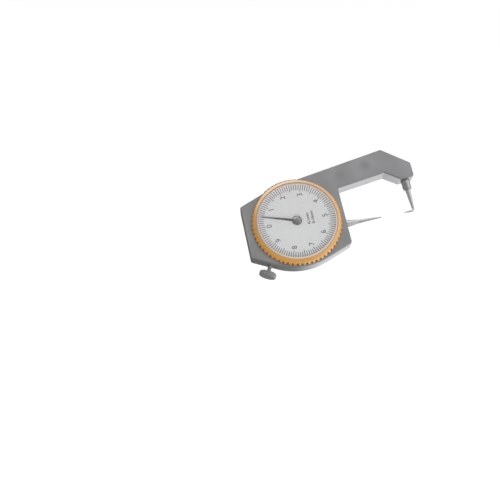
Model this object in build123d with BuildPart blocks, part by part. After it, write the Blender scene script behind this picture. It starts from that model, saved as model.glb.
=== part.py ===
"""Dial thickness gauge: a C-shaped frame, a sliding spindle and a dial that reads the gap at its tips.

The origin is on the needle's axis, in the plane of the flat back. +X runs along the spindle
towards the measuring gap, +Y towards the arm, +Z out of the dial. The gauge stands with its
tips at their widest, held there by the lock screw.
"""

import os
from math import acos, ceil, cos, hypot, pi, radians, sin, tan

from build123d import *

os.makedirs("parts", exist_ok=True)

# Fits and gaps
running_gap = 0.05
seat_gap = 0.02
open_gap = 0.3

# Spindle: the needle turns once for each turn_travel of the tips
turn_travel = 10.0
rest_gap = 10.5
closed_gap = 0.05
spindle_travel = rest_gap - closed_gap
rod_r = 2.0
rod_proud = 0.4

# Gears: pinion, rack and take-up wheel of one tooth size
pinion_teeth = 16
wheel_teeth = 30
pressure_angle = 20.0
addendum_share = 0.85
dedendum_share = 1.25
backlash = 0.04
gear_centre_gap = 0.03
wheel_thick = 0.8
wheel_window_r = 0.6
flank_steps = 4
tooth_pitch = turn_travel / pinion_teeth
tooth_module = tooth_pitch / pi
pinion_r = pinion_teeth * tooth_module / 2
wheel_r = wheel_teeth * tooth_module / 2
addendum = addendum_share * tooth_module
dedendum = dedendum_share * tooth_module
wheel_y = pinion_r + wheel_r + gear_centre_gap

# Rack: a toothed strip on a flat of the rod, with a plain land at each end
rack_width = 1.4
rack_back = 0.71
rack_flat = 0.15
rack_land = 0.7
rack_spare_teeth = 2
rack_pin_r = 0.25
rack_pin_depth = 0.8
rack_teeth = 2 * rack_spare_teeth + ceil(spindle_travel / tooth_pitch)
rack_root_y = -pinion_r - dedendum
rack_tip_y = -pinion_r + addendum
rack_base_y = rack_root_y - rack_back
rack_front_x = rack_spare_teeth * tooth_pitch + rack_land
rack_rear_x = rack_front_x - rack_teeth * tooth_pitch - 2 * rack_land
rod_y = rack_base_y + rack_flat - rod_r

# Bezel, which the body is drawn round
bezel_r = 20.0
boss_inset = 2.0
boss_wall = 2.5
left_margin = 3.0
front_margin = 1.3
pocket_share = 0.45
boss_r = bezel_r - boss_inset
boss_bore_r = boss_r - boss_wall
body_left = bezel_r + left_margin
body_front = bezel_r + front_margin
pocket_r = pocket_share * bezel_r

# Layers from the back: cover, gap, rod, gap, web
cover_thick = 1.4
web_thick = 1.0
rod_head_room = 0.5
rod_z = cover_thick + open_gap + rod_r
pocket_top = rod_z + rod_r + rod_head_room
front = pocket_top + web_thick

# Milled slot that the rack runs in
rack_slot_low = rod_y + rod_r / 2
rack_slot_high = rack_tip_y + open_gap
rack_slot_half = max(-rack_rear_x, rack_front_x + spindle_travel) + open_gap
rack_slot_top = rod_z + rack_width / 2 + open_gap

# Rear cover and its screws
cover_rim = 0.25
cover_r = hypot(rack_slot_half, rack_slot_low) + cover_rim
cover_screw_angle = 60.0
cover_screw_r = 0.7
cover_head_r = 1.2
cover_screw_length = 3.8
cover_screw_ring = (cover_r + pocket_r) / 2 + cover_screw_r / 2
screw_slot = 0.35

# Finger slide in a channel of the cover, and the stud that ties it to the rod
slide_length = 7.0
slide_width = 5.4
slide_corner_r = 1.0
slide_sink = 0.1
slide_thick = 0.55
slide_grooves = 6
slide_groove = 0.4
slide_groove_depth = 0.2
channel_depth = slide_sink + slide_thick + 2 * running_gap
channel_width = slide_width + 2 * open_gap
channel_length = slide_length + spindle_travel + 2 * open_gap
stud_r = 0.6
stud_neck_r = 0.55
stud_shoulder_r = 0.85
stud_grip = 0.9
stud_x = -spindle_travel / 2
stud_slot_r = stud_neck_r + 2 * running_gap

# Rear bore: rod, return spring and plug
plug_thick = 1.4
plug_r = 2.6
rod_end_gap = 0.4
spring_wire_r = 0.15
spring_coil_r = 1.15
spring_turns = 11
hollow_r = 1.5
rod_rear_x = plug_thick + rod_end_gap - body_left
hollow_end_x = rack_rear_x - open_gap * 2

# Front bush, from the rear cover's edge to the front
bush_r = 2.8
bush_length = body_front - cover_r
rod_front_x = body_front + rod_proud

# Moving tip: a flare that runs into a long cone
tip_length = 15.7
tip_end_r = 0.33
tip_flare = 4.8
tip_flare_r = 1.05
tip_shank_r = 0.8
tip_shank = 5.0
tip_x = rod_front_x + tip_length

# Fixed tip: a tapered pin bent towards the moving tip, and its collar
hook_length = 4.2
pin_r = 1.15
pin_bend_r = 0.6
pin_bend_radius = 1.2
pin_socket = 6.0
collar_r = 1.95
collar_length = 4.6
collar_chamfer = 0.15
ferrule_r = 1.5
ferrule_length = 0.4
hook_x = tip_x + rest_gap
pin_x = hook_x + hook_length

# Arm and nose, carried past the fixed tip and measured from the spindle's axis
nose_margin = 3.7
nose_width = 6.5
nose_height = 6.8
nose_rise = 14.8
elbow_inset = 11.4
crook_inset = 12.6
throat_rise = 16.1
throat_angle = 7.8
reach = pin_x + nose_margin
nose_inner_x = reach - nose_width
nose_bottom = rod_y + nose_rise
nose_top = nose_bottom + nose_height
elbow_x = reach - elbow_inset
crook_x = reach - crook_inset
throat_top = rod_y + throat_rise
pin_low = nose_bottom - collar_length - ferrule_length

# Body plate: each side at its distance from the needle's axis and its slope
top_margin = 0.87
shoulder_margin = 1.36
lower_left_margin = 3.2
lower_right_margin = 2.78
arm_angle = 8.9
shoulder_angle = 21.15
lower_left_angle = 27.16
lower_right_angle = 20.6
corner_fillet = 1.2
keel_fillet = 27.0
edge_chamfer = 0.4

# Dial and bezel, from the front face up
boss_height = 1.0
dial_thick = 0.4
dial_hole_r = 1.0
bezel_lift = 0.15
bezel_wall = 1.45
bezel_teeth = 60
tooth_groove_r = 0.6
tooth_groove_depth = 0.45
bezel_rim = 0.9
bezel_rim_drop = 0.35
bezel_top_width = 1.4
bezel_lip = 0.2
bezel_ledge_width = 0.4
bezel_ledge = 0.45
bezel_rim_r = bezel_r - bezel_rim
bezel_lip_r = bezel_rim_r - bezel_top_width
bezel_ledge_r = bezel_lip_r - bezel_ledge_width
bezel_bore_r = boss_r + running_gap
boss_top = front + boss_height
dial_low = boss_top + running_gap
dial_face = dial_low + dial_thick
ledge_top = dial_face + bezel_ledge

# Crystal, snapped into the bezel's groove, with a low dome
crystal_grip = 0.2
crystal_edge = 0.4
crystal_rise = 0.6
crystal_thick = 0.6
crystal_r = bezel_lip_r + crystal_grip
crystal_top = ledge_top + crystal_edge
lip_top = crystal_top + bezel_lip

# Sprung wire ring in the grooves of boss and bezel
wire_r = 0.2
wire_gap_angle = 20.0
wire_ring_r = boss_r + running_gap
wire_z = front + bezel_lift + wire_r + open_gap
wire_groove = 2 * (wire_r + running_gap)

# Centre bush, arbor, needle and cap
centre_bush_r = 1.5
centre_flange_r = 2.2
centre_flange = 0.4
arbor_r = 0.6
pivot_r = 0.3
pivot_length = 0.8
needle_lift = 0.25
needle_thick = 0.12
needle_margin = 1.7
needle_root = 1.1
needle_point = 0.3
hub_r = 2.1
cap_r = 1.45
cap_height = 0.48
cap_bevel = 0.12
needle_reach = bezel_ledge_r - needle_margin
needle_z = dial_face + needle_lift
hub_top = needle_z + needle_thick
zero_angle = 180.0
needle_angle = zero_angle - 360 * (rest_gap % turn_travel) / turn_travel

# Bridge behind the movement, cut clear of the rod
bridge_thick = 0.8
bridge_gap = 0.4
pillar_inset = 2.7
pillar_y = 3.4
pillar_r = 1.1
spigot_r = 0.6
spigot_length = 0.7
bridge_screw_r = 0.45
bridge_head_r = 0.85
bridge_screw_length = 2.8
bearing_r = 0.9
pillar_x = pocket_r - pillar_inset
bridge_r = pocket_r - open_gap
bridge_low_y = rod_y + rod_r + bridge_gap
bridge_z = cover_thick + open_gap
bridge_top = bridge_z + bridge_thick
pinion_low = bridge_top + open_gap
pinion_high = rod_z + rack_width / 2 + open_gap
wheel_low = pinion_low + open_gap
wheel_high = wheel_low + wheel_thick

# Hairspring on the take-up arbor
takeup_arbor_r = 0.45
hair_lift = 1.0
strip_thick = 0.1
strip_width = 0.5
strip_pitch = 0.5
strip_half_turns = 8
collet_r = 0.9
collet_height = 0.9
hair_stud_r = 0.35
hair_z = wheel_high + hair_lift
strip_start_r = collet_r + running_gap + strip_thick / 2
strip_end_x = strip_start_r + strip_half_turns * strip_pitch / 2
hair_stud_y = wheel_y + hair_stud_r + seat_gap

# Lock screw, square to the lower left side
lock_offset = 6.2
lock_lift = 0.4
lock_bore_r = 1.0
lock_neck_r = 0.85
lock_neck = 3.4
lock_thread_sink = 0.8
pad_length = 2.2
knob_r = 3.75
knob_height = 2.1
knob_grooves = 24
knob_groove_r = 0.4
knob_groove_depth = 0.3
knob_chamfer = 0.35
knob_socket = 1.2
lock_z = rod_z + lock_lift

# Sides of the body plate: distance from the needle's axis, angle of the outward normal
top = (boss_r + top_margin, 90 + arm_angle)
shoulder = (boss_r + shoulder_margin, 90 + shoulder_angle)
left = (body_left, 180.0)
lower_left = (boss_r + lower_left_margin, 270 - lower_left_angle)
lower_right = (boss_r + lower_right_margin, 270 + lower_right_angle)
front_side = (body_front, 0.0)


def meet(side_a, side_b):
    """Corner where two sides cross."""
    (d1, a1), (d2, a2) = side_a, side_b
    c1, s1 = cos(radians(a1)), sin(radians(a1))
    c2, s2 = cos(radians(a2)), sin(radians(a2))
    turn = c1 * s2 - s1 * c2
    return (d1 * s2 - d2 * s1) / turn, (d2 * c1 - d1 * c2) / turn


def rod_plane(x):
    """Plane across the spindle's axis at x, its normal towards the gap."""
    return Plane(origin=(x, rod_y, rod_z), x_dir=(0, 1, 0), z_dir=(1, 0, 0))


# Axis of the lock screw
lock_normal = Vector(cos(radians(lower_left[1])), sin(radians(lower_left[1])), 0)
lock_along = Vector(lock_normal.Y, -lock_normal.X, 0)
lock_foot = lock_normal * lower_left[0] + lock_along * lock_offset + Vector(0, 0, lock_z)
rod_side_y = rod_y - rod_r
lock_depth = (lock_foot.Y - rod_side_y) / lock_normal.Y


def lock_plane(distance):
    """Plane across the lock screw's axis, at a distance outside the body's side."""
    return Plane(origin=lock_foot + lock_normal * distance, z_dir=lock_normal)


def gear_outline(teeth, pitch_radius, first_angle):
    """Corner points of an involute gear, with a tooth standing at first_angle."""
    base_r = pitch_radius * cos(radians(pressure_angle))
    tip_r = pitch_radius + addendum

    def involute(radius):
        angle = acos(min(1.0, base_r / radius))
        return tan(angle) - angle

    half_at_pitch = (tooth_pitch / 2 - backlash) / (2 * pitch_radius)
    half_at_base = half_at_pitch + involute(pitch_radius)
    radii = [base_r + (tip_r - base_r) * step / flank_steps for step in range(flank_steps + 1)]
    flank = [(radius, half_at_base - involute(radius)) for radius in radii]
    flank.insert(0, (pitch_radius - dedendum, half_at_base))
    points = []
    for tooth in range(teeth):
        middle = radians(first_angle) + 2 * pi * tooth / teeth
        sides = [(radius, middle - half) for radius, half in flank]
        sides += [(radius, middle + half) for radius, half in reversed(flank)]
        points += [(radius * cos(angle), radius * sin(angle)) for radius, angle in sides]
    return points


def turned(x, y, steps):
    """Turned piece along Z from steps of (radius, low, high)."""
    with BuildPart() as piece:
        for radius, low, high in steps:
            with BuildSketch(Plane.XY.offset(low)):
                with Locations((x, y)):
                    Circle(radius)
            extrude(amount=high - low)
    return piece.part


def screws(level, spots, shank_r, head_r, length):
    """Countersunk screws with slotted heads, flush with a level and driven along +Z."""
    with BuildPart() as group:
        with BuildSketch(Plane.XY.offset(level)):
            with Locations(*spots):
                Circle(shank_r)
        extrude(amount=length)
        with BuildSketch(Plane.XY.offset(level)):
            with Locations(*spots):
                Circle(head_r)
        extrude(amount=head_r - shank_r, taper=45)
        with BuildSketch(Plane.XY.offset(level)):
            with Locations(*spots):
                Rectangle(3 * head_r, screw_slot)
        extrude(amount=screw_slot / 2, mode=Mode.SUBTRACT)
    return group.part


def save(part, name):
    """Label a finished piece and write it."""
    part.label = name
    export_step(part, f"parts/{name}.step")


elbow = meet(top, (elbow_x, 0.0))
crook = (crook_x, throat_top + (crook_x - body_front) * tan(radians(throat_angle)))
cover_angles = [cover_screw_angle, 180 - cover_screw_angle, 180 + cover_screw_angle, -cover_screw_angle]
cover_spots = [(cover_screw_ring * cos(radians(a)), cover_screw_ring * sin(radians(a))) for a in cover_angles]
pillar_spots = [(pillar_x, pillar_y), (-pillar_x, pillar_y)]

# Frame: body plate and arm in one, bored and milled for all that it holds
with BuildPart() as frame:
    with BuildSketch() as plan:
        with BuildLine():
            Polyline(
                meet(left, shoulder),
                meet(shoulder, top),
                elbow,
                (reach, nose_top),
                (reach, nose_bottom),
                (nose_inner_x, nose_bottom),
                crook,
                (body_front, throat_top),
                meet(front_side, lower_right),
                meet(lower_right, lower_left),
                meet(lower_left, left),
                close=True,
            )
        make_face()
        fillet(plan.vertices().sort_by(Axis.Y)[0], keel_fillet)
        fillet(plan.vertices().group_by(Axis.X)[0], corner_fillet)
        fillet(plan.vertices().group_by(Axis.X)[-1], corner_fillet)
        fillet(plan.vertices().sort_by_distance(elbow)[0], corner_fillet)
        fillet(plan.vertices().sort_by_distance(meet(front_side, lower_right))[0], corner_fillet)
    extrude(amount=front)
    chamfer(faces().sort_by(Axis.Z)[0].edges() + faces().sort_by(Axis.Z)[-1].edges(), edge_chamfer)
    with BuildSketch(Plane.XY.offset(front)):
        Circle(boss_r)
        Circle(boss_bore_r, mode=Mode.SUBTRACT)
    extrude(amount=boss_height)
    with BuildSketch(Plane.XY.offset(wire_z - wire_groove / 2)):
        Circle(boss_r + open_gap)
        Circle(wire_ring_r - wire_groove / 2, mode=Mode.SUBTRACT)
    extrude(amount=wire_groove, mode=Mode.SUBTRACT)
    with BuildSketch():
        Circle(cover_r)
    extrude(amount=cover_thick, mode=Mode.SUBTRACT)
    with BuildSketch():
        Circle(pocket_r)
    extrude(amount=pocket_top, mode=Mode.SUBTRACT)
    with BuildSketch():
        with Locations((0, (rack_slot_low + rack_slot_high) / 2)):
            Rectangle(2 * rack_slot_half, rack_slot_high - rack_slot_low)
    extrude(amount=rack_slot_top, mode=Mode.SUBTRACT)
    with BuildSketch(rod_plane(-body_left)):
        Circle(rod_r + running_gap)
    extrude(amount=body_left + body_front, mode=Mode.SUBTRACT)
    with BuildSketch(rod_plane(-body_left)):
        Circle(plug_r)
    extrude(amount=plug_thick, mode=Mode.SUBTRACT)
    with BuildSketch(rod_plane(body_front)):
        Circle(bush_r)
    extrude(amount=-bush_length, mode=Mode.SUBTRACT)
    with BuildSketch(lock_plane(0)):
        Circle(lock_bore_r)
    extrude(amount=-lock_depth - lock_bore_r, mode=Mode.SUBTRACT)
    with BuildSketch(Plane.XY.offset(pocket_top)):
        Circle(centre_bush_r)
    extrude(amount=web_thick, mode=Mode.SUBTRACT)
    with BuildSketch(Plane.XY.offset(pocket_top)):
        with Locations(*pillar_spots):
            Circle(spigot_r + seat_gap)
        with Locations((0, wheel_y)):
            Circle(pivot_r + running_gap)
        with Locations((strip_end_x, hair_stud_y)):
            Circle(hair_stud_r)
    extrude(amount=spigot_length, mode=Mode.SUBTRACT)
    with BuildSketch(Plane.XY.offset(cover_thick)):
        with Locations(*cover_spots):
            Circle(cover_screw_r + seat_gap)
    extrude(amount=cover_screw_length - cover_thick, mode=Mode.SUBTRACT)
    with BuildSketch(Plane(origin=(pin_x, nose_bottom, rod_z), z_dir=(0, 1, 0))):
        Circle(pin_r + seat_gap)
    extrude(amount=pin_socket, mode=Mode.SUBTRACT)
save(frame.part, "frame")

# Rear cover: flush with the back, with a channel for the finger slide and a slot for its stud
with BuildPart() as rear_cover:
    with BuildSketch():
        Circle(cover_r - seat_gap)
    extrude(amount=cover_thick)
    with BuildSketch():
        with Locations((0, rod_y)):
            RectangleRounded(channel_length, channel_width, slide_corner_r + open_gap)
    extrude(amount=channel_depth, mode=Mode.SUBTRACT)
    with BuildSketch():
        with Locations((0, rod_y)):
            SlotCenterToCenter(spindle_travel, 2 * stud_slot_r)
        with Locations(*cover_spots):
            Circle(cover_screw_r + seat_gap)
    extrude(amount=cover_thick, mode=Mode.SUBTRACT)
    with BuildSketch():
        with Locations(*cover_spots):
            Circle(cover_head_r + seat_gap)
    extrude(amount=cover_head_r - cover_screw_r, taper=45, mode=Mode.SUBTRACT)
save(rear_cover.part, "rear_cover")

save(screws(0, cover_spots, cover_screw_r, cover_head_r, cover_screw_length), "cover_screws")

# Finger slide: ribbed on its outer face
with BuildPart() as finger_slide:
    with BuildSketch(Plane.XY.offset(slide_sink)):
        with Locations((stud_x, rod_y)):
            RectangleRounded(slide_length, slide_width, slide_corner_r)
            Circle(stud_neck_r + seat_gap, mode=Mode.SUBTRACT)
    extrude(amount=slide_thick)
    with BuildSketch(Plane.XY.offset(slide_sink)):
        with Locations((stud_x, rod_y)):
            with GridLocations(slide_length / slide_grooves, 0, slide_grooves, 1):
                Rectangle(slide_groove, slide_width)
    extrude(amount=slide_groove_depth, mode=Mode.SUBTRACT)
save(finger_slide.part, "finger_slide")

stud_top = rod_z - rod_r + stud_grip
shoulder_low = cover_thick + 2 * running_gap
shoulder_high = rod_z - rod_r - running_gap
slide_stud = turned(
    stud_x,
    rod_y,
    [
        (stud_neck_r, slide_sink + slide_groove_depth, shoulder_low),
        (stud_shoulder_r, shoulder_low, shoulder_high),
        (stud_r, shoulder_high, stud_top),
    ],
)
save(slide_stud, "slide_stud")

# Spindle rod: hollow behind for the return spring, a flat for the rack, a socket for the tip
rack_pin_spots = [rack_front_x - rack_land / 2, rack_rear_x + rack_land / 2]
rack_pin_low = rack_base_y - rack_pin_depth
with BuildPart() as spindle_rod:
    with BuildSketch(rod_plane(rod_rear_x)):
        Circle(rod_r)
    extrude(amount=rod_front_x - rod_rear_x)
    chamfer(faces().sort_by(Axis.X)[0].edges(), running_gap * 4)
    with BuildSketch(rod_plane(rod_rear_x)):
        Circle(hollow_r)
    extrude(amount=hollow_end_x - rod_rear_x, mode=Mode.SUBTRACT)
    with BuildSketch(rod_plane(rod_front_x)):
        Circle(tip_shank_r + seat_gap)
    extrude(amount=-tip_shank - open_gap, mode=Mode.SUBTRACT)
    with BuildSketch(rod_plane(rack_rear_x)):
        with Locations((rod_r - rack_flat / 2, 0)):
            Rectangle(rack_flat, 2 * rod_r)
    extrude(amount=rack_front_x - rack_rear_x, mode=Mode.SUBTRACT)
    with BuildSketch(Plane(origin=(0, rack_pin_low, rod_z), x_dir=(1, 0, 0), z_dir=(0, 1, 0))):
        with Locations(*[(x, 0) for x in rack_pin_spots]):
            Circle(rack_pin_r + seat_gap)
    extrude(amount=rod_r, mode=Mode.SUBTRACT)
    with BuildSketch(Plane.XY.offset(rod_z - rod_r)):
        with Locations((stud_x, rod_y)):
            Circle(stud_r + seat_gap)
    extrude(amount=stud_grip + seat_gap, mode=Mode.SUBTRACT)
save(spindle_rod.part, "spindle_rod")

# Rack: straight-sided teeth, a space of the rack facing the pinion's axis at rest
half_at_root = (tooth_pitch / 2 - backlash) / 2 + dedendum * tan(radians(pressure_angle))
half_at_tip = (tooth_pitch / 2 - backlash) / 2 - addendum * tan(radians(pressure_angle))
rack_points = [(rack_front_x, rack_base_y), (rack_front_x, rack_root_y)]
for tooth in range(rack_teeth):
    tooth_x = (rack_spare_teeth - 0.5 - tooth) * tooth_pitch
    rack_points.append((tooth_x + half_at_root, rack_root_y))
    rack_points.append((tooth_x + half_at_tip, rack_tip_y))
    rack_points.append((tooth_x - half_at_tip, rack_tip_y))
    rack_points.append((tooth_x - half_at_root, rack_root_y))
rack_points += [(rack_rear_x, rack_root_y), (rack_rear_x, rack_base_y)]
with BuildPart() as rack:
    with BuildSketch(Plane.XY.offset(rod_z - rack_width / 2)):
        Polygon(*rack_points, align=None)
    extrude(amount=rack_width)
    with BuildSketch(Plane(origin=(0, rack_base_y, rod_z), x_dir=(1, 0, 0), z_dir=(0, 1, 0))):
        with Locations(*[(x, 0) for x in rack_pin_spots]):
            Circle(rack_pin_r + seat_gap)
    extrude(amount=rod_r, mode=Mode.SUBTRACT)
save(rack.part, "rack")

with BuildPart() as rack_pins:
    with BuildSketch(Plane(origin=(0, rack_pin_low, rod_z), x_dir=(1, 0, 0), z_dir=(0, 1, 0))):
        with Locations(*[(x, 0) for x in rack_pin_spots]):
            Circle(rack_pin_r)
    extrude(amount=rack_root_y - rack_pin_low)
save(rack_pins.part, "rack_pins")

# Moving tip: shank in the rod, then a flare and a long cone with a rounded end
with BuildPart() as moving_tip:
    with BuildSketch(Plane(origin=(rod_front_x, rod_y, rod_z))):
        with BuildLine():
            Line((-tip_shank, 0), (-tip_shank, tip_shank_r))
            Line((-tip_shank, tip_shank_r), (0, tip_shank_r))
            Line((0, tip_shank_r), (0, rod_r))
            Line((0, rod_r), (tip_flare, tip_flare_r))
            Line((tip_flare, tip_flare_r), (tip_length - tip_end_r, tip_end_r))
            CenterArc((tip_length - tip_end_r, 0), tip_end_r, 0, 90)
            Line((tip_length, 0), (-tip_shank, 0))
        make_face()
    revolve(axis=Axis((0, rod_y, rod_z), (1, 0, 0)))
save(moving_tip.part, "moving_tip")

with BuildPart() as front_bush:
    with BuildSketch(rod_plane(body_front - bush_length)):
        Circle(bush_r - seat_gap)
        Circle(rod_r + running_gap, mode=Mode.SUBTRACT)
    extrude(amount=bush_length)
save(front_bush.part, "front_bush")

with BuildPart() as end_plug:
    with BuildSketch(rod_plane(-body_left)):
        Circle(plug_r - seat_gap)
    extrude(amount=plug_thick)
    with BuildSketch(rod_plane(-body_left)):
        Rectangle(screw_slot * 2, 2 * plug_r)
    extrude(amount=plug_thick / 2, mode=Mode.SUBTRACT)
save(end_plug.part, "end_plug")

# Return spring: a coil of half-turn arcs, each lying flat at its ends
spring_start = plug_thick - body_left + spring_wire_r + running_gap
spring_end = hollow_end_x - spring_wire_r - running_gap
spring_pitch = (spring_end - spring_start) / spring_turns


def on_coil(turn):
    """Point of the coil's centre line after a number of turns."""
    angle = 2 * pi * turn
    x = spring_start + spring_pitch * turn
    return x, rod_y + spring_coil_r * cos(angle), rod_z + spring_coil_r * sin(angle)


with BuildPart() as return_spring:
    with BuildLine() as coil:
        for half_turn in range(2 * spring_turns):
            turn = half_turn / 2
            ThreePointArc(on_coil(turn), on_coil(turn + 0.25), on_coil(turn + 0.5))
    with BuildSketch(Plane(origin=coil.line @ 0, z_dir=coil.line % 0)):
        Circle(spring_wire_r)
    sweep(path=coil.line)
save(return_spring.part, "return_spring")

# Fixed tip: shank in the nose, tapered pin, bend and pointed end
with BuildPart() as fixed_tip:
    with BuildSketch(Plane(origin=(pin_x, 0, rod_z))):
        with BuildLine():
            Polyline(
                (0, nose_bottom + pin_socket - open_gap),
                (pin_r, nose_bottom + pin_socket - open_gap),
                (pin_r, pin_low),
                (pin_bend_r, rod_y + pin_bend_radius),
                (0, rod_y + pin_bend_radius),
                close=True,
            )
        make_face()
    revolve(axis=Axis((pin_x, 0, rod_z), (0, 1, 0)))
    with BuildLine() as bend:
        CenterArc((pin_x - pin_bend_radius, rod_y + pin_bend_radius, rod_z), pin_bend_radius, 0, -90)
    with BuildSketch(Plane(origin=bend.line @ 0, z_dir=bend.line % 0)):
        Circle(pin_bend_r)
    sweep(path=bend.line)
    with BuildSketch(Plane(origin=(0, rod_y, rod_z))):
        with BuildLine():
            Line((pin_x - pin_bend_radius, 0), (pin_x - pin_bend_radius, pin_bend_r))
            Line((pin_x - pin_bend_radius, pin_bend_r), (hook_x + tip_end_r, tip_end_r))
            CenterArc((hook_x + tip_end_r, 0), tip_end_r, 90, 90)
            Line((hook_x, 0), (pin_x - pin_bend_radius, 0))
        make_face()
    revolve(axis=Axis((0, rod_y, rod_z), (1, 0, 0)))
save(fixed_tip.part, "fixed_tip")

with BuildPart() as tip_collar:
    with BuildSketch(Plane(origin=(pin_x, nose_bottom, rod_z), z_dir=(0, -1, 0))):
        Circle(collar_r)
    extrude(amount=collar_length)
    chamfer(faces().sort_by(Axis.Y)[0].edges(), collar_chamfer)
    with BuildSketch(Plane(origin=(pin_x, nose_bottom - collar_length, rod_z), z_dir=(0, -1, 0))):
        Circle(ferrule_r)
    extrude(amount=ferrule_length)
    with BuildSketch(Plane(origin=(pin_x, nose_bottom, rod_z), z_dir=(0, -1, 0))):
        Circle(pin_r + seat_gap)
    extrude(amount=collar_length + ferrule_length, mode=Mode.SUBTRACT)
save(tip_collar.part, "tip_collar")

# Bezel: turned ring with a ledge over the dial, a groove for the crystal and one for the wire
bezel_low = front + bezel_lift
groove_low = wire_z - wire_groove / 2
groove_high = wire_z + wire_groove / 2
with BuildPart() as bezel:
    with BuildSketch(Plane.XZ):
        with BuildLine():
            Polyline(
                (bezel_bore_r, bezel_low),
                (bezel_r, bezel_low),
                (bezel_r, bezel_low + bezel_wall),
                (bezel_rim_r, lip_top - bezel_rim_drop),
                (bezel_lip_r, lip_top),
                (bezel_lip_r, crystal_top),
                (crystal_r + seat_gap, crystal_top),
                (crystal_r + seat_gap, ledge_top),
                (bezel_ledge_r, ledge_top),
                (bezel_ledge_r, dial_face),
                (bezel_bore_r, dial_face),
                (bezel_bore_r, groove_high),
                (wire_ring_r + wire_groove / 2, groove_high),
                (wire_ring_r + wire_groove / 2, groove_low),
                (bezel_bore_r, groove_low),
                close=True,
            )
        make_face()
    revolve(axis=Axis.Z)
    with BuildSketch(Plane.XY.offset(bezel_low)):
        with PolarLocations(bezel_r + tooth_groove_r - tooth_groove_depth, bezel_teeth):
            Circle(tooth_groove_r)
    extrude(amount=lip_top - bezel_low, mode=Mode.SUBTRACT)
save(bezel.part, "bezel")

with BuildPart() as lens:
    with BuildSketch(Plane.XZ):
        with BuildLine():
            Line((0, ledge_top + crystal_rise), (0, ledge_top + crystal_rise + crystal_thick))
            TangentArc(
                (0, ledge_top + crystal_rise + crystal_thick),
                (bezel_lip_r - 2 * running_gap, lip_top),
                tangent=(1, 0),
            )
            Polyline(
                (bezel_lip_r - 2 * running_gap, lip_top),
                (bezel_lip_r - 2 * running_gap, crystal_top),
                (crystal_r, crystal_top),
                (crystal_r, ledge_top),
                (bezel_ledge_r, ledge_top),
            )
            TangentArc((0, ledge_top + crystal_rise), (bezel_ledge_r, ledge_top), tangent=(1, 0))
        make_face()
    revolve(axis=Axis.Z)
save(lens.part, "lens")

with BuildPart() as dial_plate:
    with BuildSketch(Plane.XY.offset(dial_low)):
        Circle(bezel_bore_r - seat_gap)
        Circle(dial_hole_r, mode=Mode.SUBTRACT)
    extrude(amount=dial_thick)
save(dial_plate.part, "dial_plate")

with BuildPart() as bezel_wire:
    with BuildSketch(Plane.XZ):
        with Locations((wire_ring_r, wire_z)):
            Circle(wire_r)
    revolve(axis=Axis.Z, revolution_arc=360 - wire_gap_angle)
save(bezel_wire.part, "bezel_wire")

# Centre bush in the web, its flange under the dial
with BuildPart() as centre_bush:
    with BuildSketch(Plane.XY.offset(pocket_top)):
        Circle(centre_bush_r - seat_gap)
    extrude(amount=web_thick)
    with BuildSketch(Plane.XY.offset(front)):
        Circle(centre_flange_r)
    extrude(amount=centre_flange)
    with BuildSketch(Plane.XY.offset(pocket_top)):
        Circle(arbor_r + running_gap)
    extrude(amount=web_thick + centre_flange, mode=Mode.SUBTRACT)
save(centre_bush.part, "centre_bush")

# Pinion and arbor in one; a pinion tooth points at the rack at rest
with BuildPart() as pinion_arbor:
    with BuildSketch(Plane.XY.offset(bridge_z)):
        Circle(pivot_r)
    extrude(amount=pivot_length + open_gap)
    with BuildSketch(Plane.XY.offset(pinion_low)):
        Polygon(*gear_outline(pinion_teeth, pinion_r, -90), align=None)
    extrude(amount=pinion_high - pinion_low)
    with BuildSketch(Plane.XY.offset(pinion_high)):
        Circle(arbor_r)
    extrude(amount=hub_top - pinion_high)
save(pinion_arbor.part, "pinion_arbor")

# Needle: round hub and a slender blade
with BuildPart() as needle:
    with BuildSketch(Plane.XY.offset(needle_z).rotated((0, 0, needle_angle))):
        Circle(hub_r)
        Polygon(
            (0, -needle_root / 2),
            (needle_reach, -needle_point / 2),
            (needle_reach, needle_point / 2),
            (0, needle_root / 2),
            align=None,
        )
        Circle(arbor_r + seat_gap, mode=Mode.SUBTRACT)
    extrude(amount=needle_thick)
save(needle.part, "needle")

with BuildPart() as needle_cap:
    with BuildSketch(Plane.XY.offset(hub_top)):
        Circle(cap_r)
    extrude(amount=cap_height)
    chamfer(faces().sort_by(Axis.Z)[-1].edges(), cap_bevel)
save(needle_cap.part, "needle_cap")

# Bridge: a plate cut straight along the rod's side
with BuildPart() as bridge:
    with BuildSketch(Plane.XY.offset(bridge_z)):
        Circle(bridge_r)
        with Locations((0, bridge_low_y)):
            Rectangle(2 * pocket_r, pocket_r, align=(Align.CENTER, Align.MAX), mode=Mode.SUBTRACT)
        with Locations((0, 0), (0, wheel_y)):
            Circle(bearing_r, mode=Mode.SUBTRACT)
        with Locations(*pillar_spots):
            Circle(bridge_screw_r + seat_gap, mode=Mode.SUBTRACT)
    extrude(amount=bridge_thick)
    with BuildSketch(Plane.XY.offset(bridge_z)):
        with Locations(*pillar_spots):
            Circle(bridge_head_r + seat_gap)
    extrude(amount=bridge_head_r - bridge_screw_r, taper=45, mode=Mode.SUBTRACT)
save(bridge.part, "bridge")

with BuildPart() as bridge_bushes:
    with BuildSketch(Plane.XY.offset(bridge_z)):
        with Locations((0, 0), (0, wheel_y)):
            Circle(bearing_r - seat_gap)
            Circle(pivot_r + running_gap, mode=Mode.SUBTRACT)
    extrude(amount=bridge_thick)
save(bridge_bushes.part, "bridge_bushes")

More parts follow.
